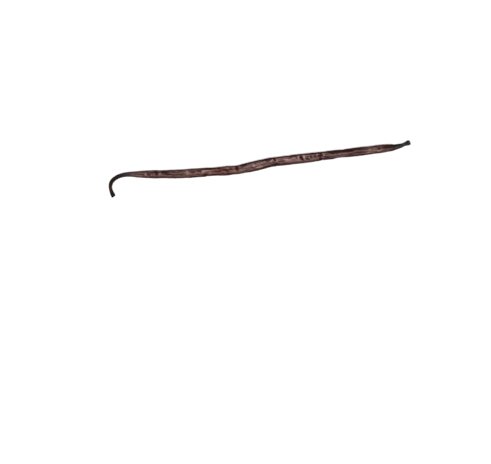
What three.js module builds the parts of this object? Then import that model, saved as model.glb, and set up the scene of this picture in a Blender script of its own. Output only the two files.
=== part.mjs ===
// A cured vanilla pod, lying on its side on a flat surface.
// It is one long leathery solid: a knob with the scar of its stalk, a thin hooked neck, a flattened body with
// lengthwise folds and a few cross creases where it has been bent, and a short neck with the flower's scar.
// The frame: X runs along the body from the stalk end to the blossom end, Z is up, the surface is at Z = 0,
// and the origin is below the middle of the pod's box. Lengths are in millimetres.
import * as THREE from "three";

// ---- Driving dimensions ----------------------------------------------------------------------------------
const POD_LENGTH = 170; // along the centre line, on which the stations are measured
const DRAWN_OUT = { stalk: 0.55, blossom: 0.3, over: 3 }; // how far the scars lie past its two ends
const BODY_WIDTH = 4.6; // of the body, seen from above
const BODY_FLATNESS = 0.84; // thickness over width: a pod goes a little flat as it dries in its bundle
const NECK_FLATNESS = 0.97;
const STALK_NECK_WIDTH = 2.1; // the thin hooked neck
const BLOSSOM_NECK_WIDTH = 1.6; // what the other end narrows to
const STALK_KNOB = { width: 2.35, at: 0.8, over: 1.0 }; // the swelling where the pod was cut from its stem
const BLOSSOM_KNOB = { width: 2.65, at: 0.8, over: 1.4 }; // and the one where the flower fell off
const RIM_ROUND = 0.4; // radius of the rounded rim of each knob
const SCAR_HOLLOW = 0.3; // depth of the dish in each knob's end
const SCAR_SLANT = { slope: 0.18, reach: 1.6 }; // the outer side of the hook is cut longer
const PRESSED_FLAT = 0.16; // how much of the underside its own weight has flattened

// Where the width changes, as distances along the centre line from the stalk scar
const NECK_OPENS = { from: 12.5, to: 33 };
const SHOULDER_FILLS = { from: 30, to: 52, share: 0.05 };
const TIP_CLOSES = { from: 152.5, to: 170 };
const FOLDS_START = 2; // before the neck opens
const FOLDS_END = 1; // before the tip has closed

// ---- The way the pod bends, seen from above --------------------------------------------------------------
// It sets off from the stalk scar at this angle to the body's direction, and each bend turns it, in degrees.
const START_HEADING = 110.8;
const BENDS = [
  { name: "curl", at: 6, turn: -51.1, over: 10.7 },
  { name: "hook", at: 10.7, turn: -65.4, over: 19.5 },
  { name: "drift", at: 45.4, turn: 3.7, over: 17.4 },
  { name: "elbow", at: 76.4, turn: 8.8, over: 5 },
  { name: "counter elbow", at: 95, turn: -6, over: 3.5 },
  { name: "tip", at: 164.3, turn: 17.3, over: 12 },
];

// ---- Swells and waists: share is the change in width at the middle, over its half length -----------------
const SWELLS = [
  { at: 4.5, over: 2.2, share: -0.15 },
  { at: 36.5, over: 3, share: -0.08 },
  { at: 50, over: 5, share: 0.03 },
  { at: 64.2, over: 2.6, share: -0.06 },
  { at: 70.6, over: 2.6, share: 0.08 },
  { at: 74.8, over: 1.8, share: -0.03 },
  { at: 86, over: 11, share: 0.13 },
  { at: 108, over: 9, share: 0.08 },
  { at: 116, over: 5, share: 0.03 },
  { at: 134, over: 3.5, share: -0.07 },
  { at: 149, over: 5, share: -0.015 },
  { at: 160, over: 3.5, share: 0.07 },
];

// ---- Lifts: how far the underside stands clear of the surface --------------------------------------------
const LIFTS = [
  { at: 0, over: 9, height: 0.32 },
  { at: 12, over: 6.5, height: 0.5 },
  { at: 68, over: 5, height: 0.22 },
  { at: 118, over: 6, height: 0.26 },
  { at: 170, over: 7, height: 0.62 },
];

// ---- Relief ----------------------------------------------------------------------------------------------
const KEEL_SHARE = 0.045; // the three blunt edges of the fruit, as a share of the radius
const TWIST = 62; // degrees that the folds wind round the body from end to end
const FOLDS = 7; // broad lengthwise folds round the pod
const FOLD_DEPTH = 0.125; // as a share of the radius
const FOLD_SHARPNESS = 1.4; // above 1, the furrows are narrower than the crests between them
const NECK_FOLD_SHARE = 0.4; // how much of that depth is left in the necks

// How uneven the folds are. Each wave has a reach in radians round the pod, and a period in millimetres.
const SWAY = { reach: 0.12, period: 61, phase: 0.4 }; // all the folds wander to and fro together
const CROWD = { reach: 0.2, period: 93, phase: 1.1 }; // they gather on a side that changes along the pod
const RIPPLE = { reach: 0.1, period: 37 }; // each edge wavers on its own
const FADE = { share: 0.28, period: 48, phase: 2, swing: 3 }; // each fold grows deeper and shallower

const CREASE_LIP = 1.1; // how much the skin rises beside a crease
const CREASE_SLANT = 0.5; // how far along the pod a crease runs in a quarter of the way round

// Pits and cross creases. Side is its place round the pod in degrees, with 90 on top and 180 on the side that
// the stalk hooks to, spread is how far round it reaches, over how far along, and depth is in millimetres.
// A depth below 0 is a raised welt.
const CREASES = [
  { at: 33.2, side: 90, spread: 34, depth: 0.3, over: 1.1 },
  { at: 42, side: 250, spread: 60, depth: 0.2, over: 1.3 },
  { at: 50, side: 95, spread: 70, depth: -0.12, over: 1.0 },
  { at: 60, side: 150, spread: 45, depth: 0.22, over: 1.2 },
  { at: 70, side: 80, spread: 50, depth: 0.14, over: 1.2 },
  { at: 76.4, side: 85, spread: 42, depth: 0.36, over: 1.2 },
  { at: 77.5, side: 280, spread: 70, depth: 0.22, over: 1.4 },
  { at: 87, side: 60, spread: 40, depth: 0.16, over: 1.2 },
  { at: 97.8, side: 128, spread: 50, depth: 0.28, over: 1.3 },
  { at: 104.5, side: 330, spread: 50, depth: 0.2, over: 1.2 },
  { at: 111.8, side: 98, spread: 36, depth: 0.38, over: 1.1 },
  { at: 121.7, side: 130, spread: 75, depth: 0.22, over: 1.1 },
  { at: 134, side: 40, spread: 60, depth: 0.16, over: 1.4 },
  { at: 143, side: 255, spread: 55, depth: 0.2, over: 1.2 },
  { at: 153, side: 95, spread: 40, depth: 0.2, over: 1.1 },
];

// ---- Fineness --------------------------------------------------------------------------------------------
const SIDES = 36;
const RINGS = 148;
const RIM_RINGS = 4; // round each knob's rim
const CENTRE_STEP = 0.1; // spacing of the centre line's table
const DISH_RINGS = [0, 0.55, 0.85]; // radii of the rings in a scar's dish, as shares of the scar's
// How much closer together the rings are at the ends, in the hook and at the creases, and over what length
const CROWDED_RINGS = {
  ends: { more: 2.5, over: 2.5 },
  hook: { more: 1.5, over: 7, at: 8 },
  creases: { more: 0.9, over: 1.6 },
};

const radians = THREE.MathUtils.degToRad;
const mix = THREE.MathUtils.lerp;
const eased = THREE.MathUtils.smoothstep; // eased(x, low, high)
const bump = (x) => Math.exp(-x * x);
const wave = (station, period, phase) => Math.sin((2 * Math.PI * station) / period + phase);

// How much a knob adds to the width of its neck, at a distance from its end.
const knob = ({ width, at, over }, neck, distance) => (width - neck) * bump((distance - at) / over);

// Half the width at a station, without the folds and the rounding of the rims.
function halfWidth(station) {
  const opened = eased(station, NECK_OPENS.from, NECK_OPENS.to);
  const filled = 1 - SHOULDER_FILLS.share * (1 - eased(station, SHOULDER_FILLS.from, SHOULDER_FILLS.to));
  const swollen = SWELLS.reduce((sum, s) => sum + s.share * bump((station - s.at) / s.over), 1);
  const body = mix(STALK_NECK_WIDTH, BODY_WIDTH * filled, opened) * swollen;
  const closed = eased(station, TIP_CLOSES.from, TIP_CLOSES.to);
  const knobs =
    knob(STALK_KNOB, STALK_NECK_WIDTH, station) +
    knob(BLOSSOM_KNOB, BLOSSOM_NECK_WIDTH, POD_LENGTH - station);
  return (mix(body, BLOSSOM_NECK_WIDTH, closed) + knobs) / 2;
}

// 0 in the necks, 1 in the body: how flat, folded and creased the pod is there.
function bodyShare(station) {
  const opened = eased(station, NECK_OPENS.from - FOLDS_START, NECK_OPENS.to);
  return opened * (1 - eased(station, TIP_CLOSES.from, TIP_CLOSES.to - FOLDS_END));
}

const flatness = (station) => mix(NECK_FLATNESS, BODY_FLATNESS, bodyShare(station));

// The folds: rounded crests with narrow furrows between them. 0 is a crest and 1 the bottom of a full furrow.
function furrow(angle, station) {
  const sway = SWAY.reach * wave(station, SWAY.period, SWAY.phase);
  const wound = angle + radians(TWIST) * (station / POD_LENGTH) + sway;
  const crowd = CROWD.reach * Math.sin(wound + wave(station, CROWD.period, CROWD.phase));
  const crowded = wound + crowd + RIPPLE.reach * wave(station, RIPPLE.period, wound);
  const fade = Math.sin(2 * wound + FADE.swing * wave(station, FADE.period, FADE.phase));
  const across = Math.abs(Math.cos((FOLDS / 2) * crowded));
  return (1 - FADE.share + FADE.share * fade) * Math.pow(1 - across, FOLD_SHARPNESS);
}

// A pit or a cross crease, which lies a little aslant, with its lips.
function crease(angle, station, { at, side, spread, depth, over }) {
  const away = angle - radians(side);
  const round = Math.atan2(Math.sin(away), Math.cos(away));
  const x = (station - at - CREASE_SLANT * Math.sin(away)) / over;
  return depth * bump(round / radians(spread)) * (1 - CREASE_LIP * x * x) * bump(x);
}

// The radius at a station and an angle round the pod, as a share of the half width there.
function section(angle, station) {
  const share = bodyShare(station);
  const keels = KEEL_SHARE * share * Math.cos(3 * (angle - radians(90 - TWIST * (station / POD_LENGTH))));
  const folds = mix(NECK_FOLD_SHARE, 1, share) * FOLD_DEPTH * furrow(angle, station);
  const creases = CREASES.reduce((sum, c) => sum + crease(angle, station, c), 0) / (BODY_WIDTH / 2);
  return 1 + keels - folds - share * creases;
}

// Where a station lies on the centre line: the last few millimetres at each end are drawn out along it.
const drawnOut = (station) =>
  station - DRAWN_OUT.stalk * bump(station / DRAWN_OUT.over) +
  DRAWN_OUT.blossom * bump((POD_LENGTH - station) / DRAWN_OUT.over);

// The line that the pod follows, seen from above, from the stalk scar to the blossom scar.
class CentreLine extends THREE.Curve {
  constructor() {
    super();
    const steps = Math.round(POD_LENGTH / CENTRE_STEP);
    this.points = [new THREE.Vector2()];
    for (let i = 0; i < steps; i++) {
      const heading = this.headingAt((i + 0.5) * CENTRE_STEP);
      const step = new THREE.Vector2(Math.cos(heading), Math.sin(heading)).multiplyScalar(CENTRE_STEP);
      this.points.push(this.points[i].clone().add(step));
    }
  }

  headingAt(station) {
    const turned = (b) => b.turn * eased(station, b.at - b.over / 2, b.at + b.over / 2);
    return radians(BENDS.reduce((sum, b) => sum + turned(b), START_HEADING));
  }

  // t runs from 0 to 1, and just past them in a straight line. The height is that of the section's middle.
  getPoint(t, target = new THREE.Vector3()) {
    const station = t * POD_LENGTH;
    const last = this.points.length - 1;
    const place = drawnOut(station) / CENTRE_STEP;
    const i = THREE.MathUtils.clamp(Math.floor(place), 0, last - 1);
    const { x, y } = this.points[i].clone().lerp(this.points[i + 1], place - i);
    const lift = LIFTS.reduce((sum, l) => sum + l.height * bump((station - l.at) / l.over), 0);
    return target.set(x, y, halfWidth(station) * flatness(station) + lift - PRESSED_FLAT);
  }
}

// Stations of the rings.
function ringStations() {
  const { ends, hook, creases } = CROWDED_RINGS;
  const near = ({ more, over }, distance) => more * bump(distance / over);
  const density = (s) =>
    CREASES.reduce((sum, c) => sum + near(creases, s - c.at), 1) +
    near(ends, s) + near(ends, POD_LENGTH - s) + near(hook, s - hook.at);
  const samples = Math.round(POD_LENGTH / CENTRE_STEP);
  const sums = [0];
  for (let i = 0; i < samples; i++) sums.push(sums[i] + density((i + 0.5) * CENTRE_STEP));
  const stations = [];
  for (let ring = 0, i = 0; ring <= RINGS; ring++) {
    const wanted = (sums[samples] * ring) / RINGS;
    while (i < samples - 1 && sums[i + 1] < wanted) i++;
    stations.push((i + (wanted - sums[i]) / (sums[i + 1] - sums[i])) * CENTRE_STEP);
  }
  return stations;
}

// Radius and distance from the end, from the middle of a scar's dish out and round the knob's rim.
function endOutline(halfWidthAt) {
  const face = halfWidthAt(0) - RIM_ROUND;
  const dish = DISH_RINGS.map((r) => [r * face, SCAR_HOLLOW * (1 - r * r)]);
  const rim = Array.from({ length: RIM_RINGS }, (_, i) => {
    const turn = (i / RIM_RINGS) * (Math.PI / 2);
    const distance = RIM_ROUND * (1 - Math.cos(turn));
    return [halfWidthAt(distance) - RIM_ROUND * (1 - Math.sin(turn)), distance];
  });
  return [...dish, ...rim];
}

// The straight pod's outline: x is the radius and y the station. Each end is a dish in a rounded knob.
function outline() {
  const stalk = endOutline((d) => halfWidth(d));
  const tip = endOutline((d) => halfWidth(POD_LENGTH - d)).map(([r, d]) => [r, POD_LENGTH - d]);
  const walls = ringStations().filter((s) => s > RIM_ROUND && s < POD_LENGTH - RIM_ROUND);
  const all = [...stalk, ...walls.map((s) => [halfWidth(s), s]), ...tip.reverse()];
  return all.map(([r, s]) => new THREE.Vector2(r, s));
}

// Bends the straight, round pod along its centre line and presses its relief into it.
function podGeometry() {
  const straight = new THREE.LatheGeometry(outline(), SIDES);
  straight.deleteAttribute("normal");
  straight.deleteAttribute("uv");
  const line = new CentreLine();
  const place = straight.getAttribute("position");
  const point = new THREE.Vector3();
  for (let i = 0; i < place.count; i++) {
    point.fromBufferAttribute(place, i);
    const side = Math.round((Math.atan2(point.x, point.z) / (2 * Math.PI)) * SIDES + SIDES) % SIDES;
    const angle = (2 * Math.PI * side) / SIDES;
    const radius = Math.hypot(point.x, point.z) * section(angle, point.y);
    const across = radius * Math.cos(angle);
    const station = point.y - SCAR_SLANT.slope * across * bump(point.y / SCAR_SLANT.reach);
    const heading = line.headingAt(drawnOut(station));
    const middle = line.getPoint(station / POD_LENGTH);
    const height = middle.z + radius * Math.sin(angle) * flatness(station);
    place.setXYZ(
      i,
      middle.x - across * Math.sin(heading),
      middle.y + across * Math.cos(heading),
      Math.max(height, 0),
    );
  }
  return straight;
}

// The pod with its box centred on the origin and its flattened underside at Z = 0.
function pod() {
  const geometry = podGeometry();
  geometry.computeBoundingBox();
  const centre = geometry.boundingBox.getCenter(new THREE.Vector3());
  const skin = new THREE.MeshStandardMaterial({ color: 0x5d423d, roughness: 0.55, metalness: 0 });
  const mesh = new THREE.Mesh(geometry, skin);
  mesh.name = "pod";
  mesh.position.set(-centre.x, -centre.y, 0);
  return mesh;
}

const root = new THREE.Group();
root.add(pod());

export default root;
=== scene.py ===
# %% [markdown]
# # A cured vanilla pod
# A vanilla pod is the fruit of a climbing orchid. It is picked green, blanched, sweated and dried for months,
# and it ends up dark brown, limp and leathery, with its skin shrunk into lengthwise folds. At one end it
# narrows to the thin neck by which it hung, which dries into a hook. At the other is the scar of the flower.
#
# The rigid solid of the pod is already made: it is loaded first, and it says where the pod lies and how big
# it is. This script dresses it. It sweeps the same form again as a fine mesh, wrinkles it, paints it, and
# sets up a plain studio. Lengths in the script are millimetres until they reach Blender, which is in metres.

# %% Load the frame
import math

import bpy
import numpy as np
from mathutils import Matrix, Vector, noise
from mathutils.bvhtree import BVHTree


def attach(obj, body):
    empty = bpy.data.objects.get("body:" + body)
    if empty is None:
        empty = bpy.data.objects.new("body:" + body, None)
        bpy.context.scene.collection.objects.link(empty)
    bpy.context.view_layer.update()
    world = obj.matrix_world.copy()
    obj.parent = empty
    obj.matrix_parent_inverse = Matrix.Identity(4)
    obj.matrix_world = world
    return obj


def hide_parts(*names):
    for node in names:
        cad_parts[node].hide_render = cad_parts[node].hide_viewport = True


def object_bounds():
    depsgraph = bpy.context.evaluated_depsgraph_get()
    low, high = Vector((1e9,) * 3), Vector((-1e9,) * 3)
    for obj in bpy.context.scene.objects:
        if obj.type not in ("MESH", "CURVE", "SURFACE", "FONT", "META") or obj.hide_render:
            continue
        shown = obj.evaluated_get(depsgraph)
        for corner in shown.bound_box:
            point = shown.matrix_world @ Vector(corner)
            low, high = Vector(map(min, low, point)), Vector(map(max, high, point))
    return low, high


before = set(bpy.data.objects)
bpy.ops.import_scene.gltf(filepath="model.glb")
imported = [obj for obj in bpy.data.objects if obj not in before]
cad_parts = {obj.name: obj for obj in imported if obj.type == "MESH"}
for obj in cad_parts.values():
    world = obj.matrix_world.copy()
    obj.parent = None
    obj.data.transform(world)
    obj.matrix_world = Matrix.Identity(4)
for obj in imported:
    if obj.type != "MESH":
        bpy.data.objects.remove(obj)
cad_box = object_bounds()
MM = 0.001
print("nodes:", sorted(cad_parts), "box in mm:", [tuple(round(c / MM, 2) for c in v) for v in cad_box])

# %% [markdown]
# ## The camera
# The pod is a flat lay: it is seen from straight above, as it would be on a light table. The camera comes
# first, because it settles how fine a detail can show: here one millimetre is about two picture elements.
# A long lens far away keeps the scale the same all along the pod. The roll turns the picture a few degrees,
# so that the pod climbs a little to the right.

# %% Camera
PICTURE = (491, 464)  # width and height in picture elements
MM_PER_PIXEL = 170 / 318  # scale of the picture at the pod
CAMERA_DISTANCE = 800.0  # above the middle of the pod's thickness
SENSOR_WIDTH = 36.0
ROLL = 6.06  # degrees that the pod climbs to the right in the picture
AIM = (-11.30, -32.72)  # the point of the floor in the middle of the picture


def add_camera():
    data = bpy.data.cameras.new("flat_lay_camera")
    data.sensor_width = SENSOR_WIDTH
    data.lens = SENSOR_WIDTH * CAMERA_DISTANCE / (PICTURE[0] * MM_PER_PIXEL)
    camera = bpy.data.objects.new("flat_lay_camera", data)
    middle_height = cad_box[1].z / 2
    camera.location = (AIM[0] * MM, AIM[1] * MM, CAMERA_DISTANCE * MM + middle_height)
    camera.rotation_euler = (0, 0, math.radians(-ROLL))
    bpy.context.scene.collection.objects.link(camera)
    bpy.context.scene.camera = camera
    return camera


camera = add_camera()
print("lens:", round(camera.data.lens, 1), "mm")

# %% [markdown]
# ## The form of the pod
# A pod could be sculpted, or lofted through a few drawn sections. Here it is swept by formula instead, because
# then every point knows how far along the pod it lies (its station) and how far round (its angle), and both
# the wrinkles and the colours can use that. First come the sizes: the widths, the bends that the pod took
# while it dried, its swells and waists, and how far parts of it stand clear of the table.

# %% Sizes of the pod
POD_LENGTH = 170.0  # of the centre line, on which the stations are measured
STALK_DRAWN_OUT, BLOSSOM_DRAWN_OUT, DRAWN_OVER = 0.55, 0.3, 3  # how far the scars lie past its two ends
BODY_WIDTH, BODY_FLATNESS, NECK_FLATNESS = 4.6, 0.84, 0.97
STALK_NECK_WIDTH, BLOSSOM_NECK_WIDTH = 2.1, 1.6
STALK_KNOB, BLOSSOM_KNOB = (2.35, 0.8, 1.0), (2.65, 0.8, 1.4)  # width, distance from the end, half length
RIM_ROUND, SCAR_HOLLOW, SCAR_SLANT, SLANT_REACH = 0.4, 0.3, 0.18, 1.6
PRESSED_FLAT = 0.16  # how much of the underside the pod's weight has flattened
NECK_OPENS, SHOULDER_FILLS, SHOULDER_SHARE, TIP_CLOSES = (12.5, 33), (30, 52), 0.05, (152.5, 170)
FOLDS_START, FOLDS_END = 2, 1

START_HEADING = 110.8
BENDS = [  # at, turn in degrees, over
    (6, -51.1, 10.7),
    (10.7, -65.4, 19.5),
    (45.4, 3.7, 17.4),
    (76.4, 8.8, 5),
    (95, -6, 3.5),
    (164.3, 17.3, 12),
]
SWELLS = [  # at, half length, share of the width
    (4.5, 2.2, -0.15),
    (36.5, 3, -0.08),
    (50, 5, 0.03),
    (64.2, 2.6, -0.06),
    (70.6, 2.6, 0.08),
    (74.8, 1.8, -0.03),
    (86, 11, 0.13),
    (108, 9, 0.08),
    (116, 5, 0.03),
    (134, 3.5, -0.07),
    (149, 5, -0.015),
    (160, 3.5, 0.07),
]
LIFTS = [(0, 9, 0.32), (12, 6.5, 0.5), (68, 5, 0.22), (118, 6, 0.26), (170, 7, 0.62)]  # at, half length, height


def eased(x, low, high):
    t = np.clip((x - low) / (high - low), 0, 1)
    return t * t * (3 - 2 * t)


def bump(x):
    return np.exp(-x * x)


def mix(a, b, share):
    return a + (b - a) * share


def wave(station, period, phase):
    return np.sin(2 * math.pi * station / period + phase)


def knob(size, neck, distance):
    """How much a knob adds to the width of its neck, at a distance from its end."""
    width, at, over = size
    return (width - neck) * bump((distance - at) / over)


def half_width(station):
    """Half the width of the pod seen from above, without its folds."""
    filled = 1 - SHOULDER_SHARE * (1 - eased(station, *SHOULDER_FILLS))
    swollen = 1 + sum(share * bump((station - at) / over) for at, over, share in SWELLS)
    body = mix(STALK_NECK_WIDTH, BODY_WIDTH * filled, eased(station, *NECK_OPENS)) * swollen
    knobs = knob(STALK_KNOB, STALK_NECK_WIDTH, station) + knob(BLOSSOM_KNOB, BLOSSOM_NECK_WIDTH, POD_LENGTH - station)
    return (mix(body, BLOSSOM_NECK_WIDTH, eased(station, *TIP_CLOSES)) + knobs) / 2


def body_share(station):
    """0 in the necks, 1 in the body."""
    opened = eased(station, NECK_OPENS[0] - FOLDS_START, NECK_OPENS[1])
    return opened * (1 - eased(station, TIP_CLOSES[0], TIP_CLOSES[1] - FOLDS_END))


def flatness(station):
    return mix(NECK_FLATNESS, BODY_FLATNESS, body_share(station))


print("widest half width:", round(float(half_width(np.arange(0, 170, 0.5)).max()), 2), "mm")

# %% [markdown]
# ## Folds, pits and creases
# As the pod dries, its skin has too much length round it and falls into folds: rounded crests with narrow
# furrows between them, which wind slowly round the pod. Where it has been bent or pinched there are pits and
# cross creases, each with a raised lip.

# %% Folds and creases
TWIST, FOLDS, FOLD_DEPTH, FOLD_SHARPNESS, NECK_FOLD_SHARE, KEEL_SHARE = 62, 7, 0.125, 1.4, 0.4, 0.045
SWAY, CROWD, RIPPLE = (0.12, 61, 0.4), (0.2, 93, 1.1), (0.1, 37)
FADE_SHARE, FADE_PERIOD, FADE_PHASE, FADE_SWING = 0.28, 48, 2, 3
CREASE_LIP, CREASE_SLANT = 1.1, 0.5
CREASES = [  # at, side in degrees (90 is on top), spread round in degrees, depth, half length
    (33.2, 90, 34, 0.3, 1.1),
    (42, 250, 60, 0.2, 1.3),
    (50, 95, 70, -0.12, 1.0),
    (60, 150, 45, 0.22, 1.2),
    (70, 80, 50, 0.14, 1.2),
    (76.4, 85, 42, 0.36, 1.2),
    (77.5, 280, 70, 0.22, 1.4),
    (87, 60, 40, 0.16, 1.2),
    (97.8, 128, 50, 0.28, 1.3),
    (104.5, 330, 50, 0.2, 1.2),
    (111.8, 98, 36, 0.38, 1.1),
    (121.7, 130, 75, 0.22, 1.1),
    (134, 40, 60, 0.16, 1.4),
    (143, 255, 55, 0.2, 1.2),
    (153, 95, 40, 0.2, 1.1),
]


def furrow(angle, station):
    """0 on a crest, 1 at the bottom of a full furrow."""
    wound = angle + math.radians(TWIST) * station / POD_LENGTH + SWAY[0] * wave(station, SWAY[1], SWAY[2])
    crowd = CROWD[0] * np.sin(wound + wave(station, CROWD[1], CROWD[2]))
    crowded = wound + crowd + RIPPLE[0] * wave(station, RIPPLE[1], wound)
    fade = np.sin(2 * wound + FADE_SWING * wave(station, FADE_PERIOD, FADE_PHASE))
    across = np.abs(np.cos(FOLDS / 2 * crowded))
    return (1 - FADE_SHARE + FADE_SHARE * fade) * (1 - across) ** FOLD_SHARPNESS


def crease(angle, station, at, side, spread, depth, over):
    """How deep one crease lies below the skin round it, in millimetres. Its lips are below 0."""
    away = angle - math.radians(side)
    round_pod = np.arctan2(np.sin(away), np.cos(away))
    x = (station - at - CREASE_SLANT * np.sin(away)) / over
    return depth * bump(round_pod / math.radians(spread)) * (1 - CREASE_LIP * x * x) * bump(x)


def all_creases(angle, station, creases):
    return sum(crease(angle, station, *c) for c in creases)


def section(angle, station):
    """The radius as a share of the half width."""
    share = body_share(station)
    keels = KEEL_SHARE * share * np.cos(3 * (angle - np.radians(90 - TWIST * station / POD_LENGTH)))
    folds = mix(NECK_FOLD_SHARE, 1, share) * FOLD_DEPTH * furrow(angle, station)
    return 1 + keels - folds - share * all_creases(angle, station, CREASES) / (BODY_WIDTH / 2)


# %% [markdown]
# ## The grid of points
# The fine mesh is a tube of rings, closed by a shallow dish at each end: the two scars. The rings stand closer
# together at the scars and at the creases, where the form changes fastest. Nearly 800 rings of 124 points put
# a point every 0.1 mm round the pod and every 0.2 mm along it, which is as fine as the finest wrinkle needs.

# %% Stations and angles of the grid
RINGS, SIDES, DISH_RINGS, RIM_RINGS = 764, 124, 9, 6


def ring_stations():
    fine = np.linspace(0, POD_LENGTH, 6801)
    density = 1 + 3 * bump(fine / 2.5) + 3 * bump((POD_LENGTH - fine) / 2.5)
    for at, _, _, _, _ in CREASES:
        density += 0.5 * bump((fine - at) / 1.6)
    summed = np.concatenate([[0], np.cumsum((density[1:] + density[:-1]) / 2)])
    return np.interp(np.linspace(0, summed[-1], RINGS), summed, fine)


def end_outline(half_width_at):
    """Radius and distance from the end, from the middle of a scar's dish out and round the knob's rim."""
    face = half_width_at(0.0) - RIM_ROUND
    shares = np.linspace(0.06, 1, DISH_RINGS, endpoint=False)
    turn = np.linspace(0, math.pi / 2, RIM_RINGS, endpoint=False)
    distance = RIM_ROUND * (1 - np.cos(turn))
    radius = np.concatenate([shares * face, half_width_at(distance) - RIM_ROUND * (1 - np.sin(turn))])
    return radius, np.concatenate([SCAR_HOLLOW * (1 - shares**2), distance])


def straight_grid():
    """Radius and station of every ring of the straight pod, from the middle of one scar to that of the other."""
    stalk_radius, stalk_in = end_outline(half_width)
    tip_radius, tip_in = end_outline(lambda distance: half_width(POD_LENGTH - distance))
    walls = ring_stations()
    walls = walls[(walls > RIM_ROUND) & (walls < POD_LENGTH - RIM_ROUND)]
    radius = np.concatenate([stalk_radius, half_width(walls), tip_radius[::-1]])
    return radius, np.concatenate([stalk_in, walls, POD_LENGTH - tip_in[::-1]])


ring_radius, ring_station = straight_grid()
ring_angle = np.arange(SIDES) * 2 * math.pi / SIDES
angle, station = np.meshgrid(ring_angle, ring_station)
print("grid:", station.shape, "points")

# %% [markdown]
# ## Fine wrinkles
# Between the folds the skin is covered with finer wrinkles, which run lengthwise, branch and fade out. They
# could be painted as a bump map, but then the outline would stay smooth, so they are pressed into the mesh.
# The trick is noise that is stretched along the pod: where it crosses zero it draws long wandering lines, and
# each line becomes a furrow. The noise is read at the straight pod's own points, so it closes round the pod.

# %% Fine wrinkles
WRINKLES = [  # spacing round the pod, spacing along it, depth, width of the line, seed
    (1.3, 16.0, 0.28, 0.13, 3),
    (0.75, 9.0, 0.17, 0.14, 11),
    (0.42, 6.0, 0.09, 0.18, 17),
]
CROSS_SPACING, CROSS_DEPTH, CROSS_SEED = 0.9, 0.07, 23
LUMP_SPACING, LUMP_DEPTH, LUMP_SEED = 2.8, 0.1, 31
PROUD = 0.11  # how far the crests between the wrinkles stand above the rigid pod, so that the mean is the same


def noise_field(along, round_pod, seed):
    """Smooth noise between about -1 and 1 at every point of the grid, stretched to these spacings in mm."""
    reach = half_width(station)
    far = Vector((seed * 7.3, seed * 3.1, seed * 5.7))
    places = np.stack([station / along, reach * np.cos(angle) / round_pod, reach * np.sin(angle) / round_pod], -1)
    values = [noise.noise(Vector(p) + far) for p in places.reshape(-1, 3).tolist()]
    return np.array(values).reshape(station.shape)


print("finest wrinkles are", WRINKLES[-1][0], "mm apart")
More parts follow.
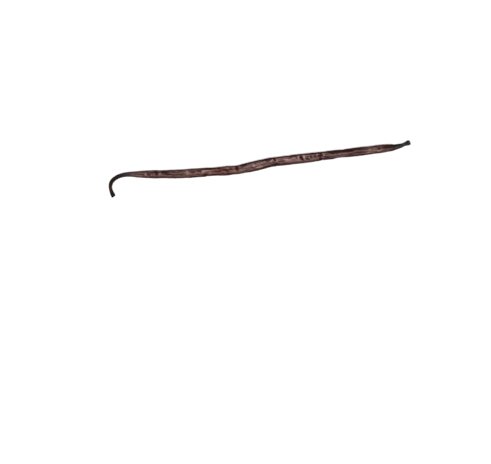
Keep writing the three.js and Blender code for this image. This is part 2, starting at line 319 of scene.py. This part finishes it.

# %% [markdown]
# ## Raised pale spots and sunk dark spots
# Handling and packing leave their marks. Where the skin has been rubbed it stands a little proud, dry, dusty
# and paler, and part of that paleness is painted highlight, as on a raised lip. Other spots are sunk a little and
# darker. Noise alone would spread such spots too evenly, so they are dabbed on one by one, from one end to the
# other. Two noises keep them from looking drawn: one shifts them along the pod, and one frays their edges.

# %% Raised pale spots and sunk dark spots
LIP, PRESSED_IN = 0.09, 0.12  # how far a pale spot stands up and a dark one is sunk
TOUCHES = [  # at, side in degrees, half length, half spread in degrees, amount: dark below 0, pale above
    (4, 90, 1.2, 50, 0.3),
    (27.5, 92, 0.9, 34, 0.6),
    (29, 92, 0.7, 22, -0.35),
    (30.5, 104, 0.7, 14, 0.45),
    (30.6, 58, 1.6, 14, 0.3),
    (32.3, 48, 0.8, 14, -0.8),
    (33.3, 84, 0.6, 32, -1.0),
    (31.5, 126, 3.0, 16, -0.6),
    (35.2, 94, 0.8, 28, 0.5),
    (37, 60, 2.5, 20, -0.85),
    (39, 84, 2.4, 22, -0.6),
    (44, 62, 2.6, 16, 0.3),
    (46, 118, 3.0, 16, 0.25),
    (49.8, 84, 0.8, 38, 0.2),
    (52.4, 68, 1.4, 24, -0.35),
    (52.5, 95, 1.8, 24, -0.45),
    (58.2, 82, 1.1, 40, 0.7),
    (60.6, 70, 1.6, 26, 0.35),
    (63.2, 88, 3.4, 16, 0.5),
    (59.2, 130, 1.7, 17, -1.0),
    (65, 116, 2.2, 14, 0.1),
    (71.2, 104, 1.2, 26, -0.5),
    (71.2, 140, 1.5, 12, -0.6),
    (71.6, 66, 1.8, 18, 0.7),
    (74.7, 68, 0.7, 26, 0.6),
    (76.3, 66, 0.6, 26, -0.9),
    (77.9, 108, 0.8, 18, -0.15),
    (80.2, 52, 3.4, 22, -0.8),
    (82.5, 92, 3.0, 20, 0.25),
    (81, 128, 2.2, 10, -0.7),
    (85.7, 78, 0.7, 22, 0.45),
    (87.6, 98, 2.2, 16, 0.3),
    (88.4, 130, 2.4, 14, 0.6),
    (91.6, 66, 0.6, 16, 0.6),
    (92.5, 42, 4.0, 14, -0.5),
    (95.2, 80, 0.7, 20, 0.65),
    (96, 62, 0.4, 16, 0.5),
    (97.1, 68, 0.5, 24, -1.3),
    (97.5, 98, 0.9, 17, 1.2),
    (99, 98, 1.0, 14, 0.3),
    (96.9, 128, 2.2, 12, -0.8),
    (102.4, 70, 0.5, 14, 0.15),
    (104, 91, 3.2, 16, 0.6),
    (103.5, 56, 3.4, 16, 0.45),
    (107, 76, 1.4, 18, 0.4),
    (104, 132, 4.0, 10, -0.5),
    (109.8, 72, 0.5, 26, 0.9),
    (111.4, 84, 0.65, 32, -1.0),
    (112.8, 90, 0.6, 34, 1.15),
    (114.2, 108, 2.0, 15, -1.0),
    (115.5, 88, 0.45, 14, 0.6),
    (116.5, 84, 0.4, 30, -0.5),
    (117.7, 84, 0.5, 14, 0.15),
    (118.9, 88, 0.4, 24, -0.4),
    (119.7, 76, 0.6, 16, 0.45),
    (119, 118, 1.8, 14, 0.4),
    (118.5, 68, 2.2, 16, 0.65),
    (121.8, 70, 0.45, 30, -0.9),
    (121.4, 130, 0.8, 17, -1.2),
    (123.3, 80, 0.8, 20, 0.8),
    (128.3, 84, 0.5, 24, -0.5),
    (130, 100, 2.5, 14, 0.3),
    (131, 52, 8.5, 25, -1.0),
    (136.6, 62, 2.4, 20, -0.7),
    (142, 64, 1.8, 12, 0.3),
    (148.2, 80, 1.2, 20, 0.4),
    (147.2, 116, 1.0, 13, 0.7),
    (147.3, 134, 0.6, 8, -0.5),
    (150.4, 62, 1.2, 16, 0.5),
    (152.9, 86, 0.8, 18, -1.0),
    (152.8, 120, 1.1, 12, 0.8),
    (154.1, 106, 0.7, 22, 0.15),
    (155.8, 70, 2.0, 30, -0.5),
    (158.4, 74, 2.2, 34, -0.8),
    (162.5, 58, 3.4, 34, -1.2),
]

wander = 0.45 * noise_field(1.3, 0.8, 61) + 1.1 * noise_field(5.0, 1.7, 67)  # mm along the pod
ragged = 0.55 * noise_field(1.5, 0.5, 73) + 0.35 * noise_field(0.7, 0.3, 79)


def laid_on(spots):
    """The sum at every point of soft spots, each with a place, a size and an amount."""
    total = np.zeros_like(station)
    for at, side, over, spread, amount in spots:
        away = angle - math.radians(side)
        round_pod = np.arctan2(np.sin(away), np.cos(away)) / math.radians(spread)
        total += amount * bump((station + 0.4 * wander - at) / over) * bump(round_pod)
    return total


def frayed(amount):
    """The same amount with a ragged edge."""
    return np.clip(1.1 * amount, 0, 1) * eased(amount + ragged, 0.14, 0.46)


touched = laid_on(TOUCHES)
rubbed_and_highlit, sunk = frayed(touched), frayed(-touched)
print("touches from", round(float(touched.min()), 2), "to", round(float(touched.max()), 2))

# %% [markdown]
# ## Nicks
# The smallest marks are nicks and pimples about a millimetre across, which catch the light. They are made like
# the creases, only smaller, so they go through the same function.

# %% Depth of the fine relief
NICKS = [  # small pits and nicks: at, side, spread, depth, half length
    (28.3, 110, 18, -0.07, 0.7),
    (30.6, 70, 22, 0.1, 0.6),
    (35.4, 80, 26, -0.06, 0.6),
    (58.5, 100, 24, 0.09, 0.6),
    (62.2, 120, 26, -0.06, 0.9),
    (66.5, 60, 20, 0.08, 0.5),
    (85.9, 100, 24, -0.08, 0.6),
    (96.3, 70, 34, -0.08, 0.45),
    (97.3, 75, 34, 0.14, 0.45),
    (98.4, 75, 34, -0.08, 0.45),
    (106.2, 100, 20, 0.08, 0.6),
    (115.4, 95, 20, -0.09, 0.55),
    (117.6, 100, 20, -0.08, 0.5),
    (119.3, 60, 20, 0.09, 0.5),
    (128.4, 110, 30, 0.07, 0.7),
    (138.6, 70, 40, 0.08, 0.6),
    (148.2, 80, 24, -0.06, 0.9),
    (150.3, 110, 20, -0.06, 0.6),
    (156.0, 100, 30, 0.08, 0.6),
]


def fine_relief():
    """Depth of the fine relief below the plain folded skin, in mm."""
    patchy = np.clip(0.75 + 0.9 * noise_field(7.0, 2.4, 41), 0.2, 1.2)
    depth = np.zeros_like(station)
    for round_pod, along, deep, width, seed in WRINKLES:
        depth += deep * patchy * bump(noise_field(along, round_pod, seed) / width)
    bent = sum(abs(turn) / over * bump((station - at) / (0.7 * over)) for at, turn, over in BENDS)
    crossing = bump(noise_field(CROSS_SPACING, 2.6, CROSS_SEED) / 0.2)
    depth += CROSS_DEPTH * crossing * np.clip(0.12 + 0.14 * bent, 0, 1)
    depth *= mix(0.55, 1, body_share(station))
    depth += LUMP_DEPTH * noise_field(LUMP_SPACING, 1.5, LUMP_SEED) * body_share(station)
    depth += all_creases(angle, station + 0.5 * wander, NICKS) * body_share(station)
    depth += PRESSED_IN * sunk - LIP * rubbed_and_highlit
    return depth - PROUD


wrinkle_depth = fine_relief()
print("fine relief from", round(float(wrinkle_depth.min()), 3), "to", round(float(wrinkle_depth.max()), 3), "mm")

# %% [markdown]
# ## Bending the pod
# The pod dries into a curve: a hook at the stalk end, a kink or two in the body and a lift of the tip. The
# centre line is a heading that each bend turns by some degrees, summed into a line. Every point of the
# straight pod is then carried over to it, and whatever would go below the table is pressed flat. The few crests
# that would stand out of the rigid pod's box are squeezed in, so that the pod keeps its size.

# %% Bend the grid along the centre line
LINE_STEP = 0.1
SQUEEZED_OVER = 0.5  # mm below each side of the box


def heading_at(place):
    turned = sum(turn * eased(place, at - over / 2, at + over / 2) for at, turn, over in BENDS)
    return np.radians(START_HEADING + turned)


def drawn_out(place):
    """Where a station lies on the centre line: the last few millimetres at each end are drawn out along it."""
    return (place - STALK_DRAWN_OUT * bump(place / DRAWN_OVER)
            + BLOSSOM_DRAWN_OUT * bump((POD_LENGTH - place) / DRAWN_OVER))


def centre_line(place):
    """X, Y and heading of the centre line at a place on it. It goes straight on past both ends."""
    steps = np.arange(round(POD_LENGTH / LINE_STEP)) * LINE_STEP + LINE_STEP / 2
    xs = np.concatenate([[0], np.cumsum(np.cos(heading_at(steps)) * LINE_STEP)])
    ys = np.concatenate([[0], np.cumsum(np.sin(heading_at(steps)) * LINE_STEP)])
    marks = np.arange(len(xs)) * LINE_STEP
    inside = np.clip(place, 0, POD_LENGTH)
    beyond = place - inside
    heading = heading_at(place)
    x = np.interp(inside, marks, xs) + beyond * np.cos(heading)
    y = np.interp(inside, marks, ys) + beyond * np.sin(heading)
    return x, y, heading


def bent_points(relief):
    """The grid's points in the frame of the centre line, in mm."""
    cap = np.minimum(ring_radius / half_width(ring_station), 1)[:, None]
    radius = ring_radius[:, None] * section(angle, station) - relief * cap
    across = radius * np.cos(angle)
    place = station - SCAR_SLANT * across * bump(station / SLANT_REACH)
    x, y, heading = centre_line(drawn_out(place))
    lift = sum(height * bump((place - at) / over) for at, over, height in LIFTS)
    middle = half_width(place) * flatness(place) + lift - PRESSED_FLAT
    height = middle + radius * np.sin(angle) * flatness(place)
    return np.stack([x - across * np.sin(heading), y + across * np.cos(heading), np.maximum(height, 0)], -1)


def drawn_in(values, limit):
    """The same lengths, but what would stand out past the limit is squeezed in below it."""
    knee = limit - SQUEEZED_OVER
    squeeze = SQUEEZED_OVER / (max(values.max(), limit) - knee)
    return np.where(values > knee, knee + (values - knee) * squeeze, values)


def to_frame(points):
    """Moves the points to the rigid pod's place, and draws in the few crests that would stand out of its box."""
    plain = bent_points(np.zeros_like(station)).reshape(-1, 3)
    low, high = (np.array(corner) / MM for corner in cad_box)
    placed = points + ((low + high) / 2 - (plain.min(0) + plain.max(0)) / 2) * [1, 1, 0]
    for axis in range(3):
        placed[..., axis] = drawn_in(placed[..., axis], high[axis])
        placed[..., axis] = -drawn_in(-placed[..., axis], -low[axis])
    return placed


pod_points = to_frame(bent_points(wrinkle_depth))
print("size in mm:", np.round(np.ptp(pod_points.reshape(-1, 3), axis=0), 2))

# %% [markdown]
# ## The mesh
# The rings are joined by four-sided faces, and each dish ends in a fan round one point in its middle.

# %% Build the mesh
def build_pod(points):
    rings, sides, _ = points.shape
    ends = points[[0, -1]].mean(1)
    corners = np.concatenate([points.reshape(-1, 3), ends]) * MM
    ring, side = np.meshgrid(np.arange(rings - 1), np.arange(sides), indexing="ij")
    after = (side + 1) % sides
    quads = np.stack([ring * sides + side, ring * sides + after, (ring + 1) * sides + after,
                      (ring + 1) * sides + side], -1).reshape(-1, 4).tolist()
    first, last = rings * sides, rings * sides + 1
    top = (rings - 1) * sides
    quads += [(first, (s + 1) % sides, s) for s in range(sides)]
    quads += [(last, top + s, top + (s + 1) % sides) for s in range(sides)]
    mesh = bpy.data.meshes.new("vanilla_pod")
    mesh.from_pydata(corners.tolist(), [], quads)
    mesh.polygons.foreach_set("use_smooth", [True] * len(mesh.polygons))
    mesh.validate()
    pod = bpy.data.objects.new("vanilla_pod", mesh)
    bpy.context.scene.collection.objects.link(pod)
    return pod


def signed_volume(mesh):
    mesh.calc_loop_triangles()
    co = np.zeros(len(mesh.vertices) * 3)
    mesh.vertices.foreach_get("co", co)
    tri = np.zeros(len(mesh.loop_triangles) * 3, int)
    mesh.loop_triangles.foreach_get("vertices", tri)
    a, b, c = (co.reshape(-1, 3)[tri.reshape(-1, 3)[:, i]] for i in range(3))
    return float((a * np.cross(b, c)).sum() / 6)


pod = build_pod(pod_points)
if signed_volume(pod.data) < 0:
    pod.data.flip_normals()
print("faces:", len(pod.data.polygons), "volume:", round(signed_volume(pod.data) / MM**3), "cubic mm")

# %% [markdown]
# ## Checking the form
# The fine mesh has to keep the form of the rigid pod, so the largest gap between the two is measured. Then it is
# tied to the rigid pod: it moves with its body, and it is shown in its place.

# %% Measure how closely it follows the rigid solid
def gap_to_solid(piece, solid):
    tree = BVHTree.FromPolygons([v.co for v in solid.data.vertices], [p.vertices for p in solid.data.polygons])
    sample = [v.co for v in piece.data.vertices if v.index % 37 == 0]
    return max(tree.find_nearest(place)[3] for place in sample)


print("largest gap to the rigid pod:", round(gap_to_solid(pod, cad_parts["pod"]) / MM, 2), "mm")
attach(pod, "root")
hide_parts("pod")

# %% [markdown]
# ## Where the skin is dark, pale, red, violet or dusty, and where shade and sheen are painted
# Cured skin isn't one brown. It is painted darkest in the furrows and pits, as painted shade, and in the thin
# dried ends. The rubbed spots and the lips of creases are paler: dusty skin and painted highlight together.
# Along the body there are redder, dustier and more violet stretches, and the dustier ones are partly painted
# sheen. The flanks and the underside are painted darker than the top, as painted shade. Each of these
# becomes a number from 0 to 1 at every point of the mesh, which the material then turns into a coat of colour.

# %% Numbers for the colours
# Each stretch has a middle, a half length and an amount.
RUST = [(31, 3, 0.4), (43, 5, 0.4), (54, 3, 0.4), (61, 5, 0.9), (68, 4, 0.8), (74.5, 3.5, 0.8), (105, 5, 0.3),
        (142.5, 3.5, 0.6)]
PLUM = [(22, 4, 0.25), (37.5, 3, 0.4), (104, 5, 0.3), (127, 3, 0.4), (136, 3, 1.0), (157.5, 2.5, 0.8)]
# the dustier stretches: partly dusty skin, partly painted sheen where the skin would reflect the light
DUST_AND_SHEEN = [(23, 3.5, 0.6), (81, 3, 0.4), (88.5, 2.6, 1.0), (103.5, 5, 0.6), (124, 2, 0.4), (148.5, 2.5, 0.3)]
DARKER_STRETCHES = [(72, 2.2, 0.12), (142.5, 3.8, 0.55)]  # darker stretches of the skin
DARK_ENDS = {"stalk": (13, 29), "blossom": (157, 163)}
HOOK_LIGHTER = [(4.4, 108, 2.0, 40, 0.45)]  # a lighter brown patch on the hook: at, side, half length, spread, amount
DRY_ENDS = {"stalk": (11, 25), "blossom": (163, 168)}  # the driest parts, with hardly any oil on them


def patches(listed):
    return sum(amount * bump((station + 1.5 * wander - at) / over) for at, over, amount in listed)


def skin_numbers():
    place = station + 0.5 * wander
    pits = all_creases(angle, place, CREASES + NICKS) * body_share(station)
    folds = furrow(angle, station) * mix(NECK_FOLD_SHARE, 1, body_share(station))
    wrinkled = np.clip(wrinkle_depth + PROUD - 0.09, 0, 1)
    # paler crease lips and rubbed spots: dusty skin and painted highlight together
    pale = frayed(5.0 * np.clip(-pits - 0.01, 0, 1)) + rubbed_and_highlit
    # painted shade in the folds, the pits and the wrinkles
    hollow_shade = 0.45 * folds + 3.5 * np.clip(pits - 0.08, 0, 1) + 3.0 * wrinkled
    # the painted shade of the hollows, together with the darker spots and stretches
    dark = hollow_shade * (1 - 0.7 * np.clip(pale, 0, 1)) + sunk + patches(DARKER_STRETCHES)
    stalk_end = 1 - eased(place, *DARK_ENDS["stalk"])
    ends = stalk_end + eased(place, *DARK_ENDS["blossom"]) - laid_on(HOOK_LIGHTER)
    # painted shade: both flanks, and all of the underside, are painted darker than the top
    flank_shade = eased(np.cos(angle), 0.3, 0.85) + eased(-np.cos(angle), 0.5, 0.95) + (np.sin(angle) < 0)
    numbers = {"dark": dark, "pale": pale, "ends": ends, "flank_shade": flank_shade, "rust": patches(RUST), "plum": patches(PLUM),
               "dust_and_sheen": patches(DUST_AND_SHEEN)}
    numbers = {name: np.clip(values, 0, 1) for name, values in numbers.items()}
    oily = eased(place, *DRY_ENDS["stalk"]) - 0.5 * eased(place, *DRY_ENDS["blossom"])
    dull = (1 - 0.85 * numbers["dark"]) * (1 - 0.6 * numbers["flank_shade"]) * mix(0.06, 1, oily)
    numbers["shine"] = (0.45 + 0.3 * numbers["pale"]) * dull
    return numbers


def keep_number(mesh, name, values):
    """Stores one number a point. The two points in the middle of the scars take that of their ring."""
    layer = mesh.attributes.new(name, "FLOAT", "POINT")
    layer.data.foreach_set("value", np.append(values.ravel(), [values[0].mean(), values[-1].mean()]))


def keep_straight_place(mesh):
    """Stores where each point was on the straight pod, in mm: along, across and up."""
    reach = ring_radius[:, None] * np.ones_like(station)
    places = np.stack([station, reach * np.cos(angle), reach * np.sin(angle)], -1).reshape(-1, 3)
    places = np.concatenate([places, [[0, 0, 0], [POD_LENGTH, 0, 0]]])
    layer = mesh.attributes.new("straight", "FLOAT_VECTOR", "POINT")
    layer.data.foreach_set("vector", places.ravel())


for name, values in skin_numbers().items():
    keep_number(pod.data, name, values)
    print(f"{name}: mean {values.mean():.2f}, largest {values.max():.2f}")
keep_straight_place(pod.data)

# %% [markdown]
# ## Helpers for materials
# One function turns the hex colour that a paint chart or a colour picker gives into the linear numbers that
# Blender calculates with. Another adds a node to a material together with its settings and its links.

# %% Colour and node helpers
def linear(hex_colour):
    channels = [int(hex_colour[i : i + 2], 16) / 255 for i in (1, 3, 5)]
    return tuple(c / 12.92 if c <= 0.04045 else ((c + 0.055) / 1.055) ** 2.4 for c in channels) + (1.0,)


def add(tree, kind, inputs=None, out=0, **settings):
    """Adds a node and returns one of its outputs. An input takes a value, or the output of another node."""
    node = tree.nodes.new(kind)
    for name, value in settings.items():
        setattr(node, name, value)
    for name, value in (inputs or {}).items():
        if isinstance(value, bpy.types.NodeSocket):
            tree.links.new(value, node.inputs[name])
        else:
            node.inputs[name].default_value = value
    return node.outputs[out] if node.outputs else node


print("linear middle grey:", [round(c, 3) for c in linear("#808080")[:3]])

# %% [markdown]
# ## Cured pod skin
# The skin is a thin, tough, leathery film soaked with the pod's own oil: it has the soft, broken sheen of
# oiled leather, and not the shine of plastic. Its IOR is that of plant oils and waxes, about 1.45. The colour
# could be one noisy brown, but then the pod would look like a stick. So it is laid on in coats, as a painter
# would: a red brown ground, dusty streaks, stretches of rust and plum, dusty stretches that are partly painted
# sheen, rubbed spots that are partly painted highlight, fine wrinkles and grain, painted shade on the flanks and
# in the furrows, black ends. The same noises that streak and wrinkle the colour also make the finest relief, as
# bumps, so that a dark line is always a groove: the finest wrinkles are painted darker in their grooves, as
# painted shade.

# %% Colours and pattern sizes of the skin
SKIN_GROUND, SKIN_DEEP, SKIN_RUST = "#4b2822", "#250d0a", "#632f22"
SKIN_PLUM, SKIN_DUSTY, SKIN_PALE = "#562530", "#78534c", "#a47b73"
SKIN_FLANK_SHADE, SKIN_ENDS = "#31130f", "#1a1512"
STREAK = (6.0, 0.5)  # length and width in mm. Real streaks are 0.1 mm wide: drawn wider, so that they show
MOTTLE = (2.9, 1.6)
WRINKLE = (3.4, 0.24)  # the finest lengthwise wrinkles
GRAIN = (0.5, 0.11)  # the finest grain of the skin, drawn out lengthwise
CREST_PALE, GROOVE_SHADE_SHARE = (0.4, 1.5), (1.3, 0.95)  # share of pale, partly painted highlight, and of dark, painted shade, in a wrinkle and on its crest
NUMBERS = ("dark", "pale", "ends", "flank_shade", "rust", "plum", "dust_and_sheen", "shine")
print("ground colour in linear numbers:", [round(c, 3) for c in linear(SKIN_GROUND)[:3]])

# %% [markdown]
# ## The coats as nodes
# Each coat is mixed over the one before it, by a number of the mesh or by a noise. The noises are read at the
# place that each point had on the straight pod, so the streaks follow the bends. Dividing that place by the length
# and width of a pattern stretches it along the pod.

# %% Material of the skin
def pod_skin():
    material = bpy.data.materials.new("cured_pod_skin")
    material.use_nodes = True
    tree = material.node_tree
    tree.nodes.clear()
    share = {name: add(tree, "ShaderNodeAttribute", out="Fac", attribute_name=name) for name in NUMBERS}
    straight = add(tree, "ShaderNodeAttribute", out="Vector", attribute_name="straight")
    for name, (along, across) in (("streak", STREAK), ("mottle", MOTTLE), ("wrinkle", WRINKLE), ("grain", GRAIN)):
        place = add(tree, "ShaderNodeVectorMath", {0: straight, 1: (1 / along, 1 / across, 1 / across)},
                    operation="MULTIPLY")
        share[name] = add(tree, "ShaderNodeTexNoise", {"Vector": place, "Scale": 1, "Detail": 3}, out="Fac")
    # The pale coat, partly painted highlight, is strongest on the crests of the wrinkles, and the dark coat, painted
    # shade and darker spots, is strongest between them, so both are broken up.
    fine = add(tree, "ShaderNodeMath", {0: share["wrinkle"], 1: share["grain"]}, operation="ADD")
    for name, low, high in (("pale", *CREST_PALE), ("dark", *GROOVE_SHADE_SHARE)):
        broken = add(tree, "ShaderNodeMapRange", {"Value": fine, "From Min": 0.86, "From Max": 1.12, "To Min": low,
                                                  "To Max": high})
        share[name] = add(tree, "ShaderNodeMath", {0: share[name], 1: broken}, operation="MULTIPLY")
    coats = [  # number, where it starts, where it is full, how much it covers, colour
        ("streak", 0.45, 0.68, 0.8, SKIN_DUSTY),
        ("rust", 0.0, 1.0, 0.9, SKIN_RUST),
        ("plum", 0.0, 1.0, 0.9, SKIN_PLUM),
        # dusty skin and painted sheen together
        ("dust_and_sheen", 0.0, 1.0, 0.9, SKIN_DUSTY),
        ("mottle", 0.5, 0.34, 0.52, SKIN_DEEP),
        # paler rubbed spots and crease lips: dusty skin and painted highlight
        ("pale", 0.0, 1.0, 0.85, SKIN_PALE),
        # painted shade in the grooves of the finest wrinkles
        ("wrinkle", 0.47, 0.36, 0.5, SKIN_DEEP),
        ("grain", 0.5, 0.3, 0.35, SKIN_DEEP),
        # painted shade on the flanks and the underside
        ("flank_shade", 0.0, 1.0, 0.85, SKIN_FLANK_SHADE),
        # painted shade in the hollows, with the darker spots and stretches
        ("dark", 0.0, 1.0, 0.95, SKIN_DEEP),
        ("ends", 0.0, 1.0, 0.96, SKIN_ENDS),
    ]
    colour = linear(SKIN_GROUND)
    for name, start, full, cover, coat in coats:
        amount = add(tree, "ShaderNodeMapRange", {"Value": share[name], "From Min": start, "From Max": full,
                                                  "To Max": cover}, interpolation_type="SMOOTHSTEP")
        colour = add(tree, "ShaderNodeMix", {0: amount, 6: colour, 7: linear(coat)}, out=2, data_type="RGBA")
    rough = add(tree, "ShaderNodeMapRange", {"Value": share["mottle"], "From Min": 0.3, "From Max": 0.7,
                                             "To Min": 0.34, "To Max": 0.5})
    relief = None
    for name, height in (("streak", 0.1), ("wrinkle", 0.09), ("grain", 0.03)):  # height in mm
        before = {"Normal": relief} if relief else {}
        relief = add(tree, "ShaderNodeBump", {"Height": share[name], "Distance": height * MM, **before})
    skin = add(tree, "ShaderNodeBsdfPrincipled", {"Base Color": colour, "IOR": 1.45, "Roughness": rough,
                                                  "Specular IOR Level": share["shine"], "Normal": relief})
    add(tree, "ShaderNodeOutputMaterial", {"Surface": skin})
    return material


pod.data.materials.append(pod_skin())
print("materials:", [m.name for m in pod.data.materials])

# %% [markdown]
# ## The table
# The pod lies on a plain white table, which is so large that its edge is far away even in low views. Its laminate
# is matt: it takes a soft shadow and shows no reflection.

# %% Table
TABLE_RADIUS = 12.0  # metres, so that it reaches the horizon in low views
TABLE_COLOUR = "#f2f1f0"


def add_table():
    mesh = bpy.data.meshes.new("table")
    corners = [(TABLE_RADIUS * math.cos(a), TABLE_RADIUS * math.sin(a), 0)
               for a in np.arange(96) * 2 * math.pi / 96]
    mesh.from_pydata(corners, [], [list(range(96))])
    table = bpy.data.objects.new("table", mesh)
    bpy.context.scene.collection.objects.link(table)
    paint = bpy.data.materials.new("matt_white_laminate")
    paint.use_nodes = True
    shader = paint.node_tree.nodes["Principled BSDF"]
    shader.inputs["Base Color"].default_value = linear(TABLE_COLOUR)
    shader.inputs["Roughness"].default_value = 0.9
    mesh.materials.append(paint)
    return table


table = add_table()

# %% [markdown]
# ## The light
# One large, soft light stands above. It could be an area lamp, but that would leave the far end of the table dark.
# A sun lights it evenly out to the horizon, and a wide disc keeps its shadow soft. The room round it is dim, so
# that the flanks fall away into the dark, but the camera sees a white backdrop.

# %% Lights
KEY_STRENGTH, KEY_DISC, KEY_TILT, KEY_FROM = 3.8, 50, 6, -95  # W/m2, and degrees
ROOM_LIGHT, BACKDROP = 0.3, 1.0


def add_key():
    data = bpy.data.lights.new("softbox", "SUN")
    data.energy = KEY_STRENGTH
    data.angle = math.radians(KEY_DISC)
    light = bpy.data.objects.new("softbox", data)
    tilt, turn = math.radians(KEY_TILT), math.radians(KEY_FROM)
    towards = Vector((math.sin(tilt) * math.cos(turn), math.sin(tilt) * math.sin(turn), math.cos(tilt)))
    light.rotation_euler = towards.to_track_quat("Z", "Y").to_euler()
    bpy.context.scene.collection.objects.link(light)
    return light


def add_room():
    world = bpy.data.worlds.new("room")
    bpy.context.scene.world = world
    world.use_nodes = True
    tree = world.node_tree
    tree.nodes.clear()
    seen = add(tree, "ShaderNodeLightPath", out="Is Camera Ray")
    strength = add(tree, "ShaderNodeMapRange", {"Value": seen, "To Min": ROOM_LIGHT, "To Max": BACKDROP})
    shine = add(tree, "ShaderNodeBackground", {"Color": (1, 1, 1, 1), "Strength": strength})
    add(tree, "ShaderNodeOutputWorld", {"Surface": shine})


add_key()
add_room()
bpy.context.scene.view_settings.view_transform = "Standard"
